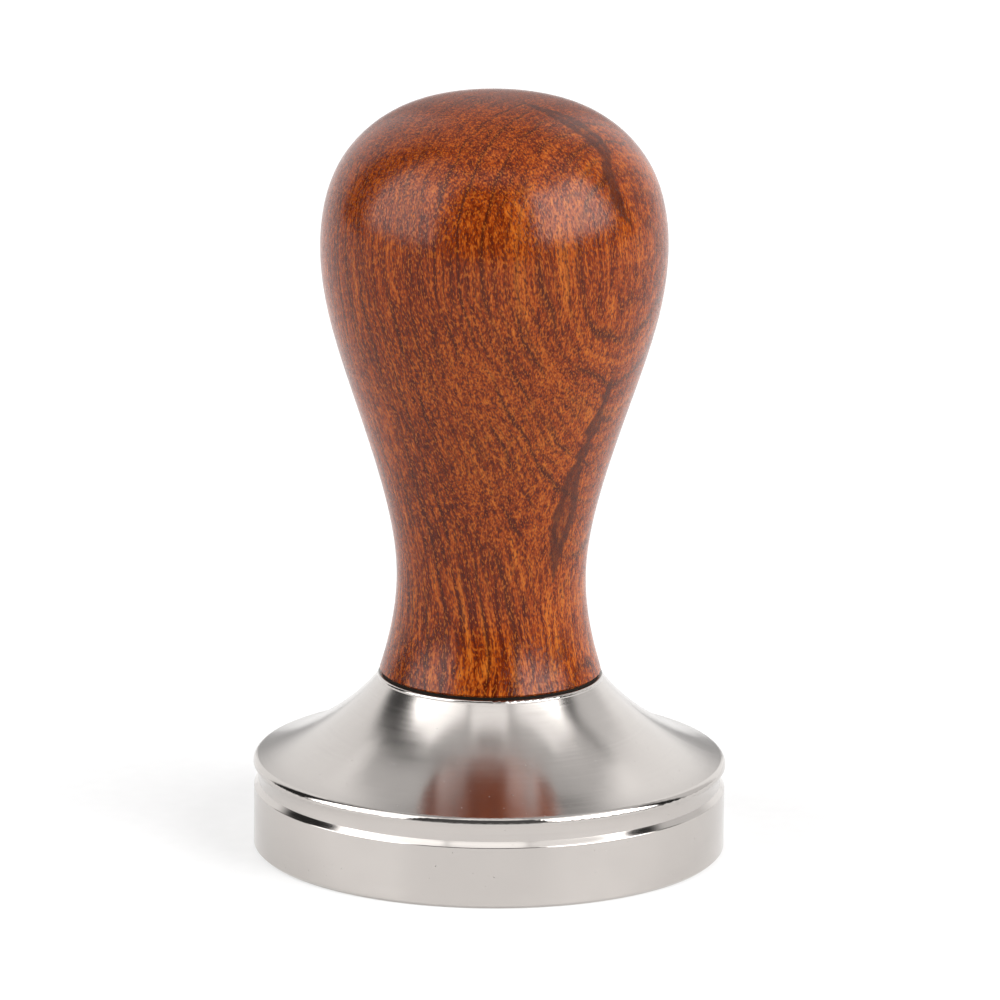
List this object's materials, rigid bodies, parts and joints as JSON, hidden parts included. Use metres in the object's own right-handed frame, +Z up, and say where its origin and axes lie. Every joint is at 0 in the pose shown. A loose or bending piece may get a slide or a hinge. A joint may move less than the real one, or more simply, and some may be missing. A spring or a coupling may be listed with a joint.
{
  "type": "espresso tamper",
  "caption": "Espresso tamper: a solid stainless base with a turned groove and a concave flare, under a bulb-shaped wooden handle that unscrews from it.",
  "frame": {"origin": "centre of the flat tamping face", "axes": "+Z up along the turned axis, from the tamping face to the crown of the handle; +X to the right in the front view"},
  "size_m": [0.0582, 0.0582, 0.0942],
  "materials": {
    "stainless": "satin, turned, with fine rings round the axis",
    "zinc_steel": "rolled thread, zinc plated",
    "brass": "machined, plain",
    "dark_rubber": "matte",
    "hardwood": "satin lacquer over reddish-brown figured grain"
  },
  "bodies": {
    "base": {"tamper_base": "stainless", "threaded_stud": "zinc_steel"},
    "seat": {"seat_washer": "dark_rubber"},
    "grip": {"handle": "hardwood", "threaded_insert": "brass"}
  },
  "joints": [
    {"name": "handle_lift", "type": "slide", "parent": "base", "child": "seat", "axis": [0, 0, 1], "range_m": [0, 0.0126]},
    {"name": "handle_turn", "type": "hinge", "parent": "seat", "child": "grip", "pos_m": [0, 0, 0.0222], "axis": [0, 0, 1], "range_deg": [0, 3600]}
  ],
  "couplings": [
    {"joint": "handle_lift", "follows": "handle_turn", "m_per_rad": 0.00019894}
  ]
}
